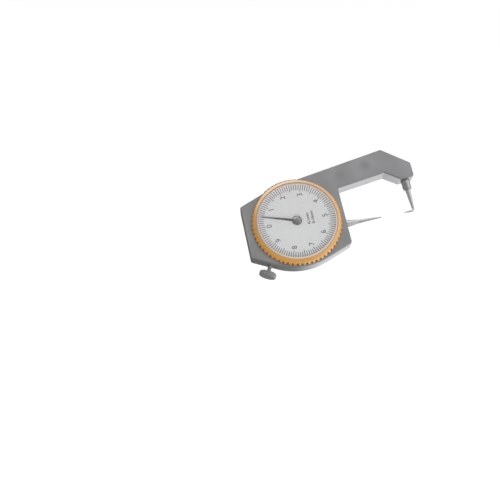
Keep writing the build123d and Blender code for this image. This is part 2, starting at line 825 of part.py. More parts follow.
with BuildPart() as bridge_pillars:
    with BuildSketch(Plane.XY.offset(bridge_top)):
        with Locations(*pillar_spots):
            Circle(pillar_r)
    extrude(amount=pocket_top - bridge_top)
    with BuildSketch(Plane.XY.offset(pocket_top)):
        with Locations(*pillar_spots):
            Circle(spigot_r)
    extrude(amount=spigot_length - seat_gap)
    with BuildSketch(Plane.XY.offset(bridge_top)):
        with Locations(*pillar_spots):
            Circle(bridge_screw_r + seat_gap)
    extrude(amount=bridge_screw_length - bridge_thick + seat_gap, mode=Mode.SUBTRACT)
save(bridge_pillars.part, "bridge_pillars")

save(screws(bridge_z, pillar_spots, bridge_screw_r, bridge_head_r, bridge_screw_length), "bridge_screws")

# Take-up wheel, in mesh with the pinion: a space between its teeth faces the pinion at rest
with BuildPart() as takeup_gear:
    with BuildSketch(Plane.XY.offset(wheel_low)):
        with Locations((0, wheel_y)):
            Polygon(*gear_outline(wheel_teeth, wheel_r, -90 + 180 / wheel_teeth), align=None)
            Circle(takeup_arbor_r + seat_gap, mode=Mode.SUBTRACT)
            with PolarLocations((wheel_r + takeup_arbor_r) / 2, 4):
                Circle(wheel_window_r, mode=Mode.SUBTRACT)
    extrude(amount=wheel_thick)
save(takeup_gear.part, "takeup_gear")

takeup_arbor = turned(
    0,
    wheel_y,
    [
        (pivot_r, bridge_z, bridge_top + running_gap),
        (takeup_arbor_r, bridge_top + running_gap, pocket_top - running_gap),
        (pivot_r, pocket_top - running_gap, pocket_top + spigot_length - running_gap),
    ],
)
save(takeup_arbor, "takeup_arbor")

with BuildPart() as spring_collet:
    with BuildSketch(Plane.XY.offset(hair_z - (collet_height - strip_width) / 2)):
        with Locations((0, wheel_y)):
            Circle(collet_r)
            Circle(takeup_arbor_r + seat_gap, mode=Mode.SUBTRACT)
    extrude(amount=collet_height)
save(spring_collet.part, "spring_collet")

# Hairspring: half turns about two centres, each half a pitch of radius wider than the last
spiral_shift = strip_pitch / 2
with BuildPart() as hairspring:
    with BuildSketch(Plane.XY.offset(hair_z).move(Location((0, wheel_y, 0)))):
        with BuildLine():
            for side in (strip_thick / 2, -strip_thick / 2):
                for half_turn in range(strip_half_turns):
                    odd = half_turn % 2
                    arc_radius = strip_start_r + half_turn * spiral_shift + side
                    CenterArc((odd * spiral_shift, 0), arc_radius, 180 * odd, 180)
            for radius in (strip_start_r, strip_end_x):
                Line((radius - strip_thick / 2, 0), (radius + strip_thick / 2, 0))
        make_face()
    extrude(amount=strip_width)
save(hairspring.part, "hairspring")

hairspring_stud = turned(
    strip_end_x,
    hair_stud_y,
    [
        (hair_stud_r, hair_z - running_gap, pocket_top),
        (hair_stud_r - seat_gap, pocket_top, pocket_top + spigot_length - seat_gap),
    ],
)
save(hairspring_stud, "hairspring_stud")

# Lock screw: threaded end in the body, thin neck outside, and the pad that it presses on the rod
screw_end = pad_length - lock_depth + running_gap
with BuildPart() as lock_screw:
    with BuildSketch(lock_plane(screw_end)):
        Circle(lock_bore_r - running_gap)
    extrude(amount=-lock_thread_sink - screw_end)
    with BuildSketch(lock_plane(-lock_thread_sink)):
        Circle(lock_neck_r)
    extrude(amount=lock_thread_sink + lock_neck + knob_socket)
save(lock_screw.part, "lock_screw")

with BuildPart() as lock_pad:
    with BuildSketch(lock_plane(-lock_depth - lock_bore_r)):
        Circle(lock_bore_r - running_gap)
    extrude(amount=pad_length + lock_bore_r)
    split(bisect_by=Plane(origin=(0, rod_side_y - running_gap, 0), z_dir=(0, -1, 0)), keep=Keep.TOP)
save(lock_pad.part, "lock_pad")

# Lock knob: coarse knurl, bevelled both ends, a blind socket for the screw's neck
with BuildPart() as lock_knob:
    with BuildSketch(lock_plane(lock_neck)):
        Circle(knob_r)
    extrude(amount=knob_height)
    chamfer(edges().filter_by(GeomType.CIRCLE), knob_chamfer)
    with BuildSketch(lock_plane(lock_neck)):
        with PolarLocations(knob_r + knob_groove_r - knob_groove_depth, knob_grooves):
            Circle(knob_groove_r)
    extrude(amount=knob_height, mode=Mode.SUBTRACT)
    with BuildSketch(lock_plane(lock_neck)):
        Circle(lock_neck_r + seat_gap)
    extrude(amount=knob_socket + seat_gap, mode=Mode.SUBTRACT)
save(lock_knob.part, "lock_knob")
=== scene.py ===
"""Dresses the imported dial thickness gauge: finishes, printed dial, crystal, turned bezel and stage.

Lengths are in metres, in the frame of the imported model: the needle's axis is Z, the flat back
lies at Z = 0 and the spindle points along X.
"""

from math import cos, pi, sin, sqrt

import bmesh
import bpy
from mathutils import Matrix, Vector


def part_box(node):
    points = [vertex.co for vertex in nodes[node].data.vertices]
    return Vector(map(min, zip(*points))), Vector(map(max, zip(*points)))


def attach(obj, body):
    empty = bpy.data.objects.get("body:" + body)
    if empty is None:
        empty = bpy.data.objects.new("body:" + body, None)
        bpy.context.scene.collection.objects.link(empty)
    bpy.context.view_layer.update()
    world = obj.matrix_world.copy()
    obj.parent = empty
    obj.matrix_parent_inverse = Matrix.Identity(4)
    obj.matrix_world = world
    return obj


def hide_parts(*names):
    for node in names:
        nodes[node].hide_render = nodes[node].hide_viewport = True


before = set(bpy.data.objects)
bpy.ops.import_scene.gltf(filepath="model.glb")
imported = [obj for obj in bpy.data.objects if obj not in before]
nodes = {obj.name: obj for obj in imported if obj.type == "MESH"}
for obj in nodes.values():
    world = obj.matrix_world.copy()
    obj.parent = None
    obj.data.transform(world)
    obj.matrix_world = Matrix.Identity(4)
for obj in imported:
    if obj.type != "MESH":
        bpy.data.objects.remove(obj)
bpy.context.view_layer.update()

bl_info = {
    "name": "Dial thickness gauge",
    "version": (1, 0, 0),
    "blender": (4, 5, 0),
    "location": "3D View > Sidebar > Gauge",
    "description": "Finishes, dial print, crystal, bezel and stage of a dial thickness gauge",
    "category": "Object",
}

MM = 0.001

# Radius of the pinhole left at the axis of a turned piece
CENTRE = 0.002 * MM

# Bezel section, shared by its shape and its finish: the rim runs from foot to shoulder
BEZEL_FOOT = 0.2 * MM
BEZEL_SHOULDER = 0.95 * MM

# Dark spots on the arm's front: place in the plan, reach and share
ARM_SPOTS = ((35.6 * MM, 20.1 * MM, 3.6 * MM, 1.0), (23.6 * MM, 17.7 * MM, 3.2 * MM, 0.7))

# Camera, fitted to the photograph's view
CAMERA_PLACE = Vector((-0.035371, -0.102867, 0.297251))
CAMERA_RIGHT = Vector((0.97933, -0.20101, -0.02234))
CAMERA_BACK = Vector((-0.04183, -0.30941, 0.95001))
CAMERA_LENS = 50.95

# Lamps: name, place and watts, all aimed at one point of the gauge
LAMP_AIM = Vector((0.015, 0.0, 0.005))
LAMP_SIZE = 0.9
LAMPS = (
    ("key_lower_right", (0.38, -0.46, 0.30), 3.2),
    ("fill_lower_left", (-0.34, -0.50, 0.38), 2.6),
    ("fill_upper_left", (-0.45, 0.35, 0.40), 0.35),
)

# Room that metal mirrors. Each run of brightness is (from, to, brightness at from, brightness at to)
DARK_WAY = (-0.7, -0.45, 1.0)
DARK_RUN = (-0.25, 1.0, 0.85, 0.13)
WINDOW_WAY = (-0.1, 0.86, 0.5)
WINDOW_RUN = (0.85, 1.0, 0.0, 0.8)
HORIZON_RUN = (0.02, 0.3, 0.25, 1.0)
TABLE_MIDDLE = (0.03, 0.0, 0.0)
TABLE_RUN = (0.06, 0.13, 1.0, 0.25)
LEFT_TO_RIGHT_RUN = (-0.004, 0.026, 0.16, 1.1)
TOWARDS_VIEWER_RUN = (-0.012, -0.03, 1.0, 1.5)


def colour(name, description, default):
    """Colour property with the settings that all the colours here share."""
    return bpy.props.FloatVectorProperty(
        name=name, description=description, subtype="COLOR", size=3, min=0.0, max=1.0, default=default
    )


def length(name, description, default):
    """Length property, in metres."""
    return bpy.props.FloatProperty(
        name=name, description=description, unit="LENGTH", precision=5, min=0.0, default=default
    )


def height_of(node, end=1):
    """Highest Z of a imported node, or its lowest with end 0."""
    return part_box(node)[end].z


def reach_of(node):
    """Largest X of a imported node."""
    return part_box(node)[1].x


class GaugeMetalSettings(bpy.types.PropertyGroup):
    body: colour("Body", "Satin grey of the frame", (0.57, 0.57, 0.582))
    cover: colour("Cover", "Brushed rear cover", (0.60, 0.605, 0.61))
    steel: colour("Steel", "Ground steel of the tips and the spindle", (0.9, 0.9, 0.895))
    nickel: colour("Nickel", "Plating of the knob and the collar", (0.75, 0.745, 0.74))
    brass: colour("Brass", "Bushes and wheels", (0.72, 0.52, 0.22))
    spring: colour("Spring steel", "Blued springs", (0.16, 0.19, 0.27))
    soft_edge: length("Soft edge", "Radius of the softened edges", 0.12 * MM)


class GaugeBezelSettings(bpy.types.PropertyGroup):
    tint: colour("Inner band", "Amber of the bezel beside the crystal", (1.0, 0.55, 0.15))
    gold: colour("Outer band", "Deeper orange of the bezel's ridged rim", (1.0, 0.45, 0.04))
    # Painted shade in the grooves between the ridges; the dye's darker patches lean slightly towards it
    dirt: colour("Grooves", "Brown between the ridges", (0.46, 0.18, 0.04))
    teeth: bpy.props.IntProperty(
        name="Teeth", description="Ridges round the bezel", min=12, max=120, default=60
    )
    groove: length("Groove radius", "Radius of the cut between two ridges", 0.6 * MM)
    depth: length("Groove depth", "Depth of that cut", 0.6 * MM)
    lean: length("Rim lean", "How far the ridged rim leans in", 0.5 * MM)


class GaugeDialSettings(bpy.types.PropertyGroup):
    paper: colour("Face", "White of the dial", (0.89, 0.895, 0.90))
    ink: colour("Ink", "Printed marks", (0.03, 0.034, 0.055))
    tick_end: length("Tick radius", "Outer end of the divisions", 16.95 * MM)
    tick: length("Tick", "Length of a division", 2.55 * MM)
    long_tick: length("Long tick", "Length of each fifth division", 3.3 * MM)
    tick_width: length("Tick width", "Width of a division", 0.25 * MM)
    numeral: length("Numeral", "Height of the numbers", 2.25 * MM)
    numeral_ring: length("Numeral ring", "Radius that the numbers stand on", 12.3 * MM)
    legend: length("Legend", "Height of the two small lines", 1.15 * MM)


class GaugeStageSettings(bpy.types.PropertyGroup):
    floor_drop: length("Floor drop", "Distance of the floor under the gauge", 60 * MM)
    ambient: bpy.props.FloatProperty(
        name="Ambient", description="Strength of the sky", min=0.0, default=0.25
    )


class Value:
    """A node's output. Python's operators on it add Math nodes."""

    def __init__(self, owner, socket):
        self.owner = owner
        self.socket = socket

    def math(self, operation, *values):
        """Adds a Math node."""
        return self.owner.node("ShaderNodeMath", {"operation": operation}, dict(enumerate(values)))

    def __add__(self, other):
        return self.math("ADD", self, other)

    def __radd__(self, other):
        return self.math("ADD", other, self)

    def __sub__(self, other):
        return self.math("SUBTRACT", self, other)

    def __rsub__(self, other):
        return self.math("SUBTRACT", other, self)

    def __mul__(self, other):
        return self.math("MULTIPLY", self, other)

    def __rmul__(self, other):
        return self.math("MULTIPLY", other, self)

    def __pow__(self, other):
        return self.math("POWER", self, other)

    def step(self, low, high):
        """0 below low, 1 above high, smooth between."""
        smooth = {"interpolation_type": "SMOOTHSTEP"}
        return self.owner.node("ShaderNodeMapRange", smooth, {0: self, 1: low, 2: high})

    def run(self, start, end, at_start, at_end):
        """Straight run from one value to another, level before start and after end."""
        ends = (self, start, end, at_start, at_end)
        return self.owner.node("ShaderNodeMapRange", values=dict(enumerate(ends)))


class Nodes:
    """The nodes of a material or a world, each added by node()."""

    def __init__(self, holder):
        holder.use_nodes = True
        self.tree = holder.node_tree
        self.tree.nodes.clear()

    def set(self, socket, value):
        """Links a value to a socket, or puts a plain number or colour on it."""
        if isinstance(value, Value):
            self.tree.links.new(value.socket, socket)
        elif hasattr(value, "__len__") and len(value) == 3 and socket.type == "RGBA":
            socket.default_value = (*value, 1.0)
        else:
            socket.default_value = value

    def node(self, kind, settings=(), values=(), output=0):
        """Adds a node: its settings first, then the values or links of its sockets."""
        made = self.tree.nodes.new(kind)
        for key, value in dict(settings).items():
            setattr(made, key, value)
        for key, value in dict(values).items():
            self.set(made.inputs[key], value)
        return Value(self, made.outputs[output] if made.outputs else None)

    def blend(self, share, low, high):
        """Number between low and high."""
        return self.node("ShaderNodeMix", values={0: share, 2: low, 3: high})

    def mix(self, share, low, high):
        """Colour between low and high."""
        return self.node("ShaderNodeMix", {"data_type": "RGBA"}, {0: share, 6: low, 7: high}, output=2)

    def place(self, stretch=(1.0, 1.0, 1.0)):
        """Position on the piece, in metres, stretched per axis."""
        point = self.node("ShaderNodeTexCoord", output="Object")
        return self.node("ShaderNodeVectorMath", {"operation": "MULTIPLY"}, {0: point, 1: stretch})

    def axis(self, name):
        """One coordinate of the position on the piece."""
        return self.node("ShaderNodeSeparateXYZ", values={0: self.place()}, output=name)

    def ray(self, kind):
        """1 for one kind of ray: Camera, Glossy or Transmission."""
        return self.node("ShaderNodeLightPath", output=f"Is {kind} Ray")

    def beheld(self):
        """1 for rays from the camera, straight or through the crystal."""
        straight = self.ray("Camera")
        return straight.math("MAXIMUM", straight, self.ray("Transmission"))


class Finish(Nodes):
    """A material with one Principled shader. Plain numbers go straight on its sockets."""

    def __init__(self, name, **sockets):
        self.material = bpy.data.materials.new(name)
        super().__init__(self.material)
        values = {socket.replace("_", " "): value for socket, value in sockets.items()}
        shader = self.node("ShaderNodeBsdfPrincipled", values=values)
        self.shader = shader.socket.node
        self.node("ShaderNodeOutputMaterial", values={"Surface": shader})

    def feed(self, socket, value):
        """Links a varied value to one of the shader's sockets."""
        self.set(self.shader.inputs[socket], value)

    def noise(self, scale, detail=3.0, rough=0.5, stretch=(1.0, 1.0, 1.0)):
        """Soft random pattern from 0 to 1, its grain 1 / scale metres."""
        values = {"Vector": self.place(stretch), "Scale": scale, "Detail": detail, "Roughness": rough}
        return self.node("ShaderNodeTexNoise", values=values)

    def radius(self):
        """Distance from the needle's axis, in metres."""
        return (self.axis("X") ** 2.0 + self.axis("Y") ** 2.0) ** 0.5

    def near(self, x, y, reach):
        """1 over a point of the plan, 0 from reach outwards."""
        away = ((self.axis("X") - x) ** 2.0 + (self.axis("Y") - y) ** 2.0) ** 0.5
        return 1.0 - away.step(0.0, reach)

    def soften(self, edge):
        """Normal with edges rounded by a radius."""
        return self.node("ShaderNodeBevel", {"samples": 6}, {"Radius": edge})

    def worn(self, edge):
        """1 along edges, 0 on flats: how far the rounded normal leaves the plain one."""
        plain = self.node("ShaderNodeNewGeometry", output="Normal")
        both = {0: self.soften(edge), 1: plain}
        return 1.0 - self.node("ShaderNodeVectorMath", {"operation": "DOT_PRODUCT"}, both, output="Value")

    def relief(self, height, depth, under=None):
        """Bump from a height, of a depth in metres."""
        values = {"Height": height, "Distance": depth}
        if under is not None:
            values["Normal"] = under
        self.feed("Normal", self.node("ShaderNodeBump", values=values))


def shade(base, factor):
    """A colour made lighter or darker."""
    return tuple(min(1.0, part * factor) for part in base)


def body_finish(metal):
    """Satin grey metal: fine blasted grain, soft cloudy patches, two dark spots on the arm, and painted
    shade darkening the edges.
    """
    made = Finish("frame_grey", Metallic=0.85, IOR=1.6)
    cloud = made.noise(110.0, 2.0, 0.4).step(0.3, 0.75)
    grain = made.noise(9000.0, 2.0, 0.6)
    # Mask of the edges, where shade is painted
    edge = made.worn(2 * metal.soft_edge).step(0.01, 0.2)
    spots = sum(share * made.near(x, y, reach) for x, y, reach, share in ARM_SPOTS)
    front = made.axis("Z").step(6.0 * MM, 7.0 * MM)
    coat = made.mix(cloud, shade(metal.body, 0.92), shade(metal.body, 1.06))
    marked = made.mix(0.5 * spots * front, coat, shade(metal.body, 0.6))
    # Painted shade: the edges turn a darker grey
    made.feed("Base Color", made.mix(edge * 0.4, marked, shade(metal.body, 0.6)))
    made.feed("Roughness", 0.42 + 0.1 * cloud + 0.08 * grain - 0.1 * edge)
    made.relief(grain, 0.004 * MM, made.soften(metal.soft_edge))
    return made.material


def brushed_finish(name, base, soft_edge, stretch, rough):
    """Brushed metal: long fine scratches along one axis."""
    made = Finish(name, Metallic=0.6)
    brush = made.noise(3000.0, 3.0, 0.7, stretch)
    cloud = made.noise(160.0, 2.0)
    made.feed("Base Color", made.mix(brush * 0.7 + cloud * 0.3, shade(base, 0.8), shade(base, 1.15)))
    made.feed("Roughness", rough - 0.08 + 0.16 * brush)
    made.relief(brush, 0.002 * MM, made.soften(soft_edge))
    return made.material


def turned_finish(name, base, soft_edge, rough, tarnish, rim=1.06, metallic=0.75, joint=None):
    """Turned or ground metal: fine rings, faint handling marks, edges lighter or darker by rim.

    rim paints the edges: the knob's lighter rim is a painted highlight and the collar's darker edges are
    painted shade. joint is the Y that the piece is seated against, where a painted shadow darkens it."""
    made = Finish(name, Metallic=metallic)
    rings = made.noise(5200.0, 2.0, 0.6, (1.0, 0.25, 1.0))
    marks = made.noise(700.0, 4.0, 0.65).step(0.45, 0.8)
    edge = made.worn(3 * soft_edge).step(0.01, 0.2)
    coat = made.mix(marks * tarnish, shade(base, 1.06), shade(base, 0.72))
    # Painted shadow: the colour darkens towards the seat at joint
    if joint is not None:
        coat = made.mix(0.8 * made.axis("Y").step(joint - 0.9 * MM, joint), coat, shade(base, 0.25))
    # Edges take rim times the colour: painted highlight above 1, painted shade below 1
    made.feed("Base Color", made.mix(edge, coat, shade(base, rim)))
    made.feed("Roughness", rough + 0.08 * rings + 0.12 * marks)
    made.relief(rings, 0.0012 * MM, made.soften(soft_edge))
    return made.material


def anodised_finish(bezel):
    """Amber anodised aluminium: glossy coat, turning rings, a deeper rim, brown painted shade between the
    ridges.
    """
    coat = {"Coat_Weight": 1.0, "Coat_Roughness": 0.15, "Coat_IOR": 3.6}
    made = Finish("bezel_amber", Metallic=0.2, IOR=1.5, **coat)
    ring = made.radius()
    turning = {"W": ring, "Scale": 14000.0, "Detail": 2.0}
    rings = made.node("ShaderNodeTexNoise", {"noise_dimensions": "1D"}, turning)
    dye = made.noise(420.0, 3.0).step(0.35, 0.8)
    low, top, outer = height_of("bezel", 0), height_of("bezel"), reach_of("bezel")
    rim = ring.step(18.4 * MM, 18.9 * MM)
    height = made.axis("Z")
    foot, shoulder = low + BEZEL_FOOT, top - BEZEL_SHOULDER
    cone = outer - (height - foot) * (bezel.lean / (shoulder - foot))
    under = 1.0 - height.step(shoulder - 0.05 * MM, shoulder + 0.05 * MM)
    groove = (cone - ring).step(0.04 * MM, 0.3 * MM) * under
    bands = made.mix(rim, bezel.tint, bezel.gold)
    # Painted shade: the grooves between the ridges go brown, and the dye's patches lean a little towards
    # that brown
    made.feed("Base Color", made.mix(0.1 * dye + 0.9 * groove, bands, bezel.dirt))
    made.feed("Roughness", 0.42 + 0.08 * rings + 0.06 * dye)
    made.relief(rings, 0.001 * MM)
    return made.material


def dial_finish(dial):
    """Matt white dial: faint paper-like grain, a trace of painted shade towards the rim, under the bezel.
    """
    made = Finish("dial_white", Specular_IOR_Level=0.35)
    rim = made.radius().step(12 * MM, 18 * MM)
    grain = made.noise(5000.0, 3.0, 0.6)
    # Painted shade: grey rises a little towards the rim
    made.feed("Base Color", made.mix(rim * 0.03 + grain * 0.03, dial.paper, shade(dial.paper, 0.9)))
    made.feed("Roughness", 0.5 + 0.12 * grain)
    made.relief(grain, 0.0015 * MM)
    return made.material


def ink_finish(dial):
    """Printed ink, a little uneven."""
    made = Finish("dial_ink")
    uneven = made.noise(3500.0, 3.0, 0.6)
    made.feed("Base Color", made.mix(uneven, shade(dial.ink, 0.7), shade(dial.ink, 1.6)))
    made.feed("Roughness", 0.35 + 0.2 * uneven)
    return made.material


def black_finish():
    """Black lacquer of the needle."""
    made = Finish("needle_black", Coat_Weight=0.4, Coat_Roughness=0.15)
    haze = made.noise(1800.0, 3.0)
    made.feed("Base Color", made.mix(haze, (0.012, 0.012, 0.014), (0.035, 0.035, 0.04)))
    made.feed("Roughness", 0.25 + 0.2 * haze)
    made.relief(haze, 0.001 * MM)
    return made.material


def crystal_finish():
    """Clear crystal: lets the dial through, with faint wipe marks in the gloss."""
    made = Finish("crystal_clear", IOR=1.45, Base_Color=(0.98, 0.985, 0.99))
    wipe = made.noise(240.0, 4.0, 0.6, (1.0, 0.2, 1.0)).step(0.4, 0.9)
    made.feed("Roughness", 0.02 + 0.06 * wipe)
    made.feed("Alpha", 0.06 + 0.02 * wipe)
    return made.material


def crystal_edge_finish():
    """Bevelled edge of the crystal: frosted and pale, its colour a painted reflection, pale pink inside
    and the bezel's orange towards the outside.
    """
    made = Finish("crystal_edge", IOR=2.1)
    frost = made.noise(2600.0, 3.0, 0.6)
    rim = made.radius().step(17.1 * MM, 17.75 * MM)
    # Painted reflection: pale pink at the inner edge, the bezel's orange further out
    made.feed("Base Color", made.mix(rim, (0.86, 0.72, 0.66), (0.80, 0.52, 0.32)))
    made.feed("Roughness", 0.25 + 0.2 * frost)
    made.relief(frost, 0.002 * MM)
    return made.material


def piece(name, mesh, body, material, replaced=()):
    """Adds a finished mesh as a piece that rides on a body."""
    made = bpy.data.objects.new(name, mesh)
    bpy.context.scene.collection.objects.link(made)
    for one in material if isinstance(material, (list, tuple)) else [material]:
        mesh.materials.append(one)
    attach(made, body)
    if replaced:
        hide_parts(*replaced)
    return made


def dress(material, *names):
    """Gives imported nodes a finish."""
    for name in names:
        nodes[name].material_slots[0].material = material


def mesh_of(work, name):
    """Mesh of a bmesh, which is freed."""
    mesh = bpy.data.meshes.new(name)
    work.to_mesh(mesh)
    work.free()
    return mesh


def lathe(name, profile, count, radius_of=None, materials=None):
    """Ring mesh from a closed profile of (radius, height).

    radius_of(index, angle, radius) may shift a point. materials gives each side of the
    profile its slot."""
    work = bmesh.new()
    columns = []
    for step in range(count):
        angle = 2 * pi * step / count
        column = []
        for index, (radius, height) in enumerate(profile):
            at = radius_of(index, angle, radius) if radius_of else radius
            column.append(work.verts.new((at * cos(angle), at * sin(angle), height)))
        columns.append(column)
    for step in range(count):
        here, there = columns[step], columns[(step + 1) % count]
        for index in range(len(profile)):
            after = (index + 1) % len(profile)
            face = work.faces.new((here[index], there[index], there[after], here[after]))
            face.smooth = True
            if materials:
                face.material_index = materials[index]
    bmesh.ops.recalc_face_normals(work, faces=work.faces)
    return mesh_of(work, name)


def rounded(corners, steps=4):
    """Profile through (radius, height, fillet) corners, each fillet as a short arc."""
    points = []
    count = len(corners)
    for index, (x, y, fillet) in enumerate(corners):
        here = Vector((x, y))
        if not fillet:
            points.append((x, y))
            continue
        before = (Vector(corners[index - 1][:2]) - here).normalized()
        after = (Vector(corners[(index + 1) % count][:2]) - here).normalized()
        half = before.angle(after) / 2
        centre = here + (before + after).normalized() * (fillet / sin(half))
        start = here + before * (fillet * cos(half) / sin(half)) - centre
        end = here + after * (fillet * cos(half) / sin(half)) - centre
        for step in range(steps + 1):
            arm = start.slerp(end, step / steps)
            points.append(tuple(centre + arm.normalized() * fillet))
    return points


def strips(name, quads, height, thick):
    """Thin flat bars from lists of four (x, y) corners."""
    work = bmesh.new()
    for quad in quads:
        low = [work.verts.new((x, y, height)) for x, y in quad]
        high = [work.verts.new((x, y, height + thick)) for x, y in quad]
        work.faces.new(high)
        for side in range(4):
            after = (side + 1) % 4
            work.faces.new((low[side], low[after], high[after], high[side]))
    bmesh.ops.recalc_face_normals(work, faces=work.faces)
    return mesh_of(work, name)


def words(name, lines, height, thick, bold=0.0):
    """One mesh from lines of (text, size, x, y, turn, stretch), each centred on its place.

    bold widens the strokes, as a share of the letters' size."""
    work = bmesh.new()
    for text, size, x, y, turn, stretch in lines:
        curve = bpy.data.curves.new(name, "FONT")
        curve.body = text
        curve.size = 1.0
        curve.extrude = 0.5
        curve.offset = bold
        curve.align_x = "CENTER"
        curve.resolution_u = 6
        holder = bpy.data.objects.new(name, curve)
        bpy.context.scene.collection.objects.link(holder)
        bpy.context.view_layer.update()
        flat = bpy.data.meshes.new_from_object(holder)
        tall = max(v.co.y for v in flat.vertices)
        scale = size / tall
        flat.transform(Matrix.Translation((0, -tall / 2, 0.5)))
        flat.transform(Matrix.Diagonal((scale * stretch, scale, thick, 1)))
        flat.transform(Matrix.Translation((x, y, height)) @ Matrix.Rotation(turn, 4, "Z"))
        work.from_mesh(flat)
        bpy.data.objects.remove(holder)
        bpy.data.curves.remove(curve)
        bpy.data.meshes.remove(flat)
    return mesh_of(work, name)


class GAUGE_OT_metal(bpy.types.Operator):
    """Gives the frame, tips, collar, knob, cover and movement their metal finishes"""

    bl_idname = "gauge.metal"
    bl_label = "Metal finishes"

    def execute(self, context):
        metal = context.scene.gauge_metal
        edge = metal.soft_edge
        dress(body_finish(metal), "frame")
        along, across = (0.06, 1.0, 1.0), (1.0, 0.06, 1.0)
        dress(brushed_finish("cover_brushed", metal.cover, edge, along, 0.34), "rear_cover")
        darker = shade(metal.cover, 0.8)
        dress(brushed_finish("slide_brushed", darker, edge, across, 0.36), "finger_slide")
        dress(
            turned_finish("steel_polished", metal.steel, 0.4 * edge, rough=0.1, tarnish=0.3, metallic=0.9),
            "spindle_rod",
            "moving_tip",
        )
        dress(
            turned_finish("steel_ground", metal.steel, 0.4 * edge, rough=0.16, tarnish=0.6),
            "fixed_tip",
            "rack",
            "pinion_arbor",
            "takeup_arbor",
        )
        dress(
            turned_finish("screw_steel", shade(metal.steel, 0.6), 0.3 * edge, rough=0.28, tarnish=0.8),
            "cover_screws",
            "bridge_screws",
            "end_plug",
            "slide_stud",
            "rack_pins",
        )
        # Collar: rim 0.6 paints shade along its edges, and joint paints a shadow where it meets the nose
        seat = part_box("tip_collar")[1].y
        collar = {"rough": 0.2, "tarnish": 0.5, "rim": 0.6, "metallic": 0.9, "joint": seat}
        dress(turned_finish("nickel_bright", metal.nickel, 0.5 * edge, **collar), "tip_collar")
        # Knob and lock screw: a darker copy of the nickel as painted shade, rim 1.6 as a painted highlight
        # on their edges
        dress(
            turned_finish("nickel_shaded", shade(metal.nickel, 0.58), edge, rough=0.2, tarnish=0.5, rim=1.6),
            "lock_screw",
            "lock_knob",
        )
        dress(
            turned_finish("brass_turned", metal.brass, 0.4 * edge, rough=0.22, tarnish=0.7),
            "front_bush",
            "centre_bush",
            "bridge",
            "bridge_bushes",
            "bridge_pillars",
            "takeup_gear",
            "spring_collet",
            "hairspring_stud",
            "lock_pad",
        )
        dress(
            turned_finish("spring_blued", metal.spring, 0.2 * edge, rough=0.25, tarnish=0.4),
            "return_spring",
            "hairspring",
            "bezel_wire",
        )
        return {"FINISHED"}


class GAUGE_OT_bezel(bpy.types.Operator):
    """Builds the turned amber bezel with rounded ridges"""

    bl_idname = "gauge.bezel"
    bl_label = "Bezel"

    def execute(self, context):
        bezel = context.scene.gauge_bezel
        outer = reach_of("bezel")
        low, top = height_of("bezel", 0), height_of("bezel")
        bore = outer - 1.95 * MM
        lip, seat, inner = outer - 2.3 * MM, outer - 2.08 * MM, outer - 2.7 * MM
        lip_foot, ledge, face = top - 0.2 * MM, top - 0.6 * MM, height_of("dial_plate")
        corners = [
            (bore, low, 0.0),
            (outer - 0.1 * MM, low, 0.0),
            (outer, low + BEZEL_FOOT, 0.05 * MM),
            (outer - 0.4 * bezel.lean, top - 1.67 * MM, 0.0),
            (outer - 0.8 * bezel.lean, top - 1.19 * MM, 0.0),
            (outer - bezel.lean, top - BEZEL_SHOULDER, 0.15 * MM),
            (outer - 1.0 * MM, top - 0.52 * MM, 0.25 * MM),
            (lip, top, 0.06 * MM),
            (lip, lip_foot, 0.0),
            (seat, lip_foot, 0.0),
            (seat, ledge, 0.0),
            (inner, ledge, 0.04 * MM),
            (inner, face, 0.0),
            (bore, face, 0.0),
        ]
        profile = rounded(corners)
        pitch = 2 * pi / bezel.teeth
        centre = outer + bezel.groove - bezel.depth
        blend = 0.12 * MM

        def cut(index, angle, radius):
            """Radius of a point after the round cuts, their upper edges blended."""
            off = (angle + pitch / 2) % pitch - pitch / 2
            side = centre * sin(off)
            if abs(side) >= bezel.groove:
                return radius
            wall = centre * cos(off) - sqrt(bezel.groove**2 - side**2)
            gap = radius - wall
            if gap <= -blend:
                return radius
            if gap >= blend:
                return wall
            return radius - (gap + blend) ** 2 / (4 * blend)

        mesh = lathe("bezel_ring", profile, bezel.teeth * 16, cut)
        finish = anodised_finish(bezel)
        made = piece("bezel_ring", mesh, "dial_ring", finish, ["bezel"])
        made.data.shade_smooth()
        return {"FINISHED"}


class GAUGE_OT_dial(bpy.types.Operator):
    """Finishes the dial and prints its divisions, numbers and legend"""

    bl_idname = "gauge.dial"
    bl_label = "Dial"

    def execute(self, context):
        dial = context.scene.gauge_dial
        dress(dial_finish(dial), "dial_plate")
        ink = ink_finish(dial)
        lift, thick = 0.004 * MM, 0.012 * MM
        face = height_of("dial_plate") + lift
        quads = []
        for division in range(100):
            turn = Matrix.Rotation(pi - 2 * pi * division / 100, 2)
            size = dial.tick if division % 5 else dial.long_tick
            half = dial.tick_width / 2
            inner, outer = dial.tick_end - size, dial.tick_end
            box = [(inner, -half), (outer, -half), (outer, half), (inner, half)]
            quads.append([tuple(turn @ Vector(corner)) for corner in box])
        marks = strips("dial_divisions", quads, face, thick)
        piece("dial_divisions", marks, "dial_ring", ink)
        lines = []
        for number in range(10):
            angle = pi - 2 * pi * number / 10
            x, y = dial.numeral_ring * cos(angle), dial.numeral_ring * sin(angle)
            lines.append((str(number), dial.numeral, x, y, pi / 2, 1.0))
        numbers = words("dial_numbers", lines, face, thick)
        piece("dial_numbers", numbers, "dial_ring", ink)
        lines = [
            ("0.1mm", dial.legend, 4.9 * MM, 0.1 * MM, pi / 2, 1.2),
            ("0-10mm", dial.legend, 6.9 * MM, 0.3 * MM, pi / 2, 1.1),
        ]
        legend = words("dial_legend", lines, face, thick, bold=0.03)
        piece("dial_legend", legend, "dial_ring", ink)
        return {"FINISHED"}


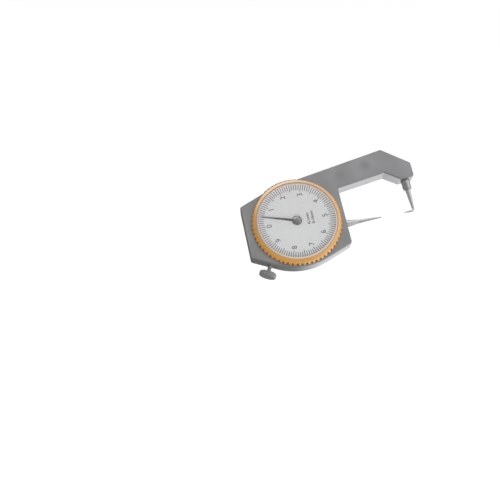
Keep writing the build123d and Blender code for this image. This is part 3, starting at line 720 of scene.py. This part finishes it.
class GAUGE_OT_crystal(bpy.types.Operator):
    """Builds the domed crystal with its frosted bevelled edge"""

    bl_idname = "gauge.crystal"
    bl_label = "Crystal"

    def execute(self, context):
        outer = reach_of("lens")
        low, peak = height_of("lens", 0), height_of("lens")
        lip, bevel, inner = outer - 0.3 * MM, outer - 1.0 * MM, outer - 0.9 * MM
        edge_top = height_of("bezel") - 0.02 * MM
        groove = edge_top - 0.2 * MM
        hollow = 0.6 * MM
        dome = []
        count = 14
        for step in range(1, count + 1):
            share = step / count
            dome.append((bevel * share, peak - (peak - edge_top) * share**2))
        under = []
        for step in range(count + 1):
            share = 1 - step / count
            under.append((max(inner * share, CENTRE), low + hollow * (1 - share**2)))
        profile = [(CENTRE, peak)] + dome
        profile += [(lip, edge_top - 0.02 * MM), (lip, groove), (outer, groove), (outer, low)]
        kinds = [0] * len(dome) + [1, 1, 1, 1, 1]
        profile += under
        kinds += [0] * (len(profile) - len(kinds))
        mesh = lathe("crystal", profile, 180, materials=kinds)
        finishes = [crystal_finish(), crystal_edge_finish()]
        made = piece("crystal", mesh, "dial_ring", finishes, ["lens"])
        made.visible_shadow = False
        return {"FINISHED"}


class GAUGE_OT_pointer(bpy.types.Operator):
    """Lacquers the needle black and builds the domed cap on its hub"""

    bl_idname = "gauge.pointer"
    bl_label = "Pointer"

    def execute(self, context):
        dress(black_finish(), "needle")
        base, top = height_of("needle_cap", 0), height_of("needle_cap")
        hub = 1.8 * MM
        skirt = 0.12 * MM
        rise = top - base - skirt
        profile = [(CENTRE, base), (hub, base)]
        count = 12
        for step in range(count + 1):
            angle = pi / 2 * step / count
            profile.append((max(hub * cos(angle), CENTRE), base + skirt + rise * sin(angle)))
        metal = context.scene.gauge_metal
        base_colour, edge = shade(metal.steel, 0.5), 0.3 * metal.soft_edge
        steel = turned_finish("cap_steel", base_colour, edge, rough=0.06, tarnish=0.1, metallic=0.95)
        cap = lathe("pointer_cap", profile, 96)
        piece("pointer_cap", cap, "pointer", steel, ["needle_cap"])
        return {"FINISHED"}


class GAUGE_OT_stage(bpy.types.Operator):
    """Sets the camera, the lamps, the pale floor and the white surroundings"""

    bl_idname = "gauge.stage"
    bl_label = "Stage"

    def lamp(self, name, place, power):
        """Round soft lamp that metal doesn't mirror."""
        light = bpy.data.lights.new(name, "AREA")
        light.shape = "DISK"
        light.size = LAMP_SIZE
        light.energy = power
        made = bpy.data.objects.new(name, light)
        made.location = place
        made.rotation_mode = "QUATERNION"
        made.rotation_quaternion = (LAMP_AIM - Vector(place)).to_track_quat("-Z", "Y")
        made.visible_glossy = False
        bpy.context.scene.collection.objects.link(made)

    def sky(self, ambient):
        """White to the camera, even light on the gauge, and in gloss a room with a window."""
        world = bpy.data.worlds.new("stage_sky")
        bpy.context.scene.world = world
        tree = Nodes(world)
        ahead = tree.node("ShaderNodeTexCoord", output="Generated")
        height = tree.node("ShaderNodeSeparateXYZ", values={0: ahead}, output="Z")

        def towards(way):
            both = {0: ahead, 1: way}
            return tree.node("ShaderNodeVectorMath", {"operation": "DOT_PRODUCT"}, both, output="Value")

        room = towards(DARK_WAY).run(*DARK_RUN) + towards(WINDOW_WAY).run(*WINDOW_RUN)
        mirrored = room * height.run(*HORIZON_RUN)
        lit = tree.blend(tree.ray("Glossy"), ambient, mirrored)
        strength = tree.blend(tree.beheld(), lit, 1.0)
        light = tree.node("ShaderNodeBackground", values={"Color": (1.0, 1.0, 1.0), "Strength": strength})
        tree.node("ShaderNodeOutputWorld", values={"Surface": light})

    def floor_finish(self):
        """Near white with a soft shadow to the camera, graded in gloss, clear from below."""
        material = bpy.data.materials.new("stage_pale")
        tree = Nodes(material)
        off = {0: tree.place(), 1: TABLE_MIDDLE}
        away = tree.node("ShaderNodeVectorMath", {"operation": "DISTANCE"}, off, output="Value")
        across = tree.axis("X").run(*LEFT_TO_RIGHT_RUN) * away.run(*TABLE_RUN)
        graded = across * tree.axis("Y").run(*TOWARDS_VIEWER_RUN)
        mirrored = tree.node("ShaderNodeEmission", values={"Strength": graded})
        matt = tree.node("ShaderNodeBsdfDiffuse", values={"Color": (0.35, 0.35, 0.35)})
        glow = tree.node("ShaderNodeEmission", values={"Strength": 0.8})
        pale = tree.node("ShaderNodeAddShader", values={0: matt, 1: glow})
        plain = tree.node("ShaderNodeBsdfDiffuse", values={"Color": (0.7, 0.7, 0.7)})
        clear = tree.node("ShaderNodeBsdfTransparent")
        below = tree.node("ShaderNodeNewGeometry", output="Backfacing")
        surface = plain
        for share, other in ((tree.beheld(), pale), (tree.ray("Glossy"), mirrored), (below, clear)):
            surface = tree.node("ShaderNodeMixShader", values={0: share, 1: surface, 2: other})
        tree.node("ShaderNodeOutputMaterial", values={"Surface": surface})
        return material

    def floor(self, drop):
        """Square of floor under the gauge."""
        work = bmesh.new()
        bmesh.ops.create_grid(work, x_segments=1, y_segments=1, size=1.5)
        mesh = mesh_of(work, "stage_floor")
        mesh.materials.append(self.floor_finish())
        made = bpy.data.objects.new("stage_floor", mesh)
        made.location.z = -drop
        bpy.context.scene.collection.objects.link(made)

    def camera(self):
        """Camera at the photograph's viewing angle."""
        data = bpy.data.cameras.new("photo_camera")
        data.lens = CAMERA_LENS
        data.sensor_width = 36.0
        data.clip_start = 0.01
        made = bpy.data.objects.new("photo_camera", data)
        back = CAMERA_BACK.normalized()
        up = back.cross(CAMERA_RIGHT.normalized()).normalized()
        turn = Matrix((up.cross(back), up, back)).transposed().to_4x4()
        made.matrix_world = Matrix.Translation(CAMERA_PLACE) @ turn
        bpy.context.scene.collection.objects.link(made)
        bpy.context.scene.camera = made

    def execute(self, context):
        stage = context.scene.gauge_stage
        self.sky(stage.ambient)
        self.floor(stage.floor_drop)
        for name, place, power in LAMPS:
            self.lamp(name, place, power)
        self.camera()
        context.scene.view_settings.view_transform = "Standard"
        return {"FINISHED"}


class GAUGE_PT_panel(bpy.types.Panel):
    """Lists the steps and their sizes and colours in the sidebar"""

    bl_label = "Dial thickness gauge"
    bl_idname = "GAUGE_PT_panel"
    bl_space_type = "VIEW_3D"
    bl_region_type = "UI"
    bl_category = "Gauge"

    def draw(self, context):
        for kind in OPERATORS:
            self.layout.operator(kind.bl_idname)
        for name in SETTINGS:
            settings = getattr(context.scene, name)
            box = self.layout.box()
            for key in settings.__annotations__:
                box.prop(settings, key)


OPERATORS = (
    GAUGE_OT_metal,
    GAUGE_OT_bezel,
    GAUGE_OT_dial,
    GAUGE_OT_crystal,
    GAUGE_OT_pointer,
    GAUGE_OT_stage,
)
SETTINGS = {
    "gauge_metal": GaugeMetalSettings,
    "gauge_bezel": GaugeBezelSettings,
    "gauge_dial": GaugeDialSettings,
    "gauge_stage": GaugeStageSettings,
}


def register():
    for kind in (*SETTINGS.values(), *OPERATORS, GAUGE_PT_panel):
        bpy.utils.register_class(kind)
    for name, kind in SETTINGS.items():
        setattr(bpy.types.Scene, name, bpy.props.PointerProperty(type=kind))


def unregister():
    for name in SETTINGS:
        delattr(bpy.types.Scene, name)
    for kind in (GAUGE_PT_panel, *reversed(OPERATORS), *reversed(SETTINGS.values())):
        bpy.utils.unregister_class(kind)


def main():
    """Makes everything in order."""
    register()
    bpy.ops.gauge.metal()
    bpy.ops.gauge.bezel()
    bpy.ops.gauge.dial()
    bpy.ops.gauge.crystal()
    bpy.ops.gauge.pointer()
    bpy.ops.gauge.stage()


if __name__ == "__main__":
    main()
